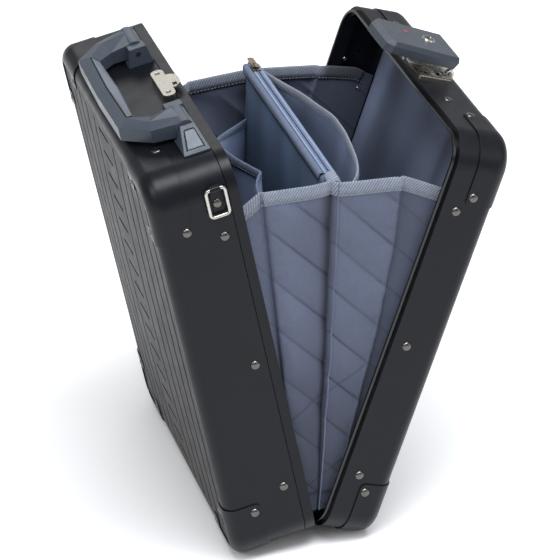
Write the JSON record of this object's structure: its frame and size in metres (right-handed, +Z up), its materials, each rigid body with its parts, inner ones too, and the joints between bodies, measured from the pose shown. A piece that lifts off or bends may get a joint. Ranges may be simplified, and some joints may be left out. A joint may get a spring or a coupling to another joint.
{
  "type": "attache case",
  "caption": "Hard-sided attache case that opens like a book on a piano hinge, with ribbed faces, corner caps, folding handle, latch, strap rings, fabric gussets and a zipped divider.",
  "frame": {"origin": "centre of the floor footprint's bounding box, at the floor", "axes": "+Z up with the case standing open on its two lower outer edges, +Y along the hinge towards the far end, +X from the base half towards the lid half"},
  "size_m": [0.3736, 0.3556, 0.4942],
  "materials": {
    "black_band": "satin",
    "black_cap": "satin",
    "frame_black": "satin",
    "tongue_black": "gloss",
    "gasket_rubber": "matte",
    "ribbed_panel": "satin",
    "nickel": "polished",
    "steel": "brushed",
    "handle_plastic": "satin",
    "inlay_plastic": "satin",
    "lining_fabric": "woven",
    "gusset_fabric": "woven",
    "zip_tape": "woven",
    "zip_metal": "satin",
    "index_red": "gloss"
  },
  "bodies": {
    "base": {"base_cap_lower_far": "black_cap", "base_cap_lower_near": "black_cap", "base_cap_screws": "steel", "base_cap_upper_far": "black_cap", "base_cap_upper_near": "black_cap", "base_frame": "frame_black", "base_gasket": "gasket_rubber", "base_lining": "lining_fabric", "base_panel": "ribbed_panel", "base_rivets": "nickel", "base_shell": "black_band", "handle_mount_far": "handle_plastic", "handle_mount_inlays": "inlay_plastic", "handle_mount_near": "handle_plastic", "handle_pins": "steel", "hinge_leaf_base": "steel", "hinge_pin": "steel", "hinge_screws_base": "steel", "keeper_block": "nickel", "keeper_plate": "nickel", "keeper_screws": "steel", "strap_bracket_far": "frame_black", "strap_bracket_near": "frame_black", "strap_rivets": "nickel"},
    "lid": {"hinge_leaf_lid": "steel", "hinge_screws_lid": "steel", "latch_base": "nickel", "latch_base_screws": "steel", "latch_pin": "steel", "lid_cap_lower_far": "black_cap", "lid_cap_lower_near": "black_cap", "lid_cap_screws": "steel", "lid_cap_upper_far": "black_cap", "lid_cap_upper_near": "black_cap", "lid_frame": "frame_black", "lid_lining": "lining_fabric", "lid_panel": "ribbed_panel", "lid_rivets": "nickel", "lid_shell": "black_band", "lid_tongue": "tongue_black"},
    "divider": {"divider_panel": "gusset_fabric", "divider_pocket_lid": "gusset_fabric", "divider_pocket_base": "gusset_fabric", "zip_tape": "zip_tape", "zip_teeth": "zip_metal", "gusset_near": "gusset_fabric", "gusset_far": "gusset_fabric"},
    "handle": {"handle_body": "handle_plastic", "handle_grip_insert": "inlay_plastic"},
    "ring_near": {"strap_ring_near": "nickel"},
    "ring_far": {"strap_ring_far": "nickel"},
    "latch": {"latch_lever": "nickel", "latch_cover": "handle_plastic", "latch_bezel": "nickel", "latch_index": "index_red"},
    "key": {"key_plug": "steel"},
    "zip_slider": {"zip_slider": "zip_metal"},
    "zip_pull": {"zip_pull": "zip_metal"}
  },
  "joints": [
    {"name": "lid_hinge", "type": "hinge", "parent": "base", "child": "lid", "pos_m": [-0.01074, 0, 0.01082], "axis": [0, 1, 0], "range_deg": [-29.4, 0], "deforming": ["gusset_near", "gusset_far"]},
    {"name": "divider_hinge", "type": "hinge", "parent": "base", "child": "divider", "pos_m": [-0.01074, 0, 0.01082], "axis": [0, 1, 0], "range_deg": [-14.7, 0]},
    {"name": "handle_hinge", "type": "hinge", "parent": "base", "child": "handle", "pos_m": [-0.12684, 0, 0.47345], "axis": [0, 1, 0], "range_deg": [0, 95]},
    {"name": "ring_near_hinge", "type": "hinge", "parent": "base", "child": "ring_near", "pos_m": [-0.1186, -0.1749, 0.44113], "axis": [-0.9815, 0, -0.1914], "range_deg": [0, 140]},
    {"name": "ring_far_hinge", "type": "hinge", "parent": "base", "child": "ring_far", "pos_m": [-0.1186, 0.1749, 0.44113], "axis": [-0.9815, 0, -0.1914], "range_deg": [-140, 0]},
    {"name": "latch_hinge", "type": "hinge", "parent": "lid", "child": "latch", "pos_m": [0.17357, 0, 0.44538], "axis": [0, 1, 0], "range_deg": [-4.5, 0], "stiffness_Nm_per_rad": 1.5, "springref_deg": 4.58},
    {"name": "key_turn", "type": "hinge", "parent": "latch", "child": "key", "pos_m": [0.16034, 0.005, 0.47321], "axis": [0.3886, 0, 0.9214], "range_deg": [0, 90]},
    {"name": "zip_slide", "type": "slide", "parent": "divider", "child": "zip_slider", "axis": [0, -1, 0], "range_m": [0, 0.23]},
    {"name": "zip_pull_hinge", "type": "hinge", "parent": "zip_slider", "child": "zip_pull", "pos_m": [0.01473, 0.123, 0.40835], "axis": [0.998, 0, -0.0639], "range_deg": [0, 160]}
  ],
  "couplings": [
    {"joint": "divider_hinge", "follows": "lid_hinge", "ratio": 0.5}
  ]
}
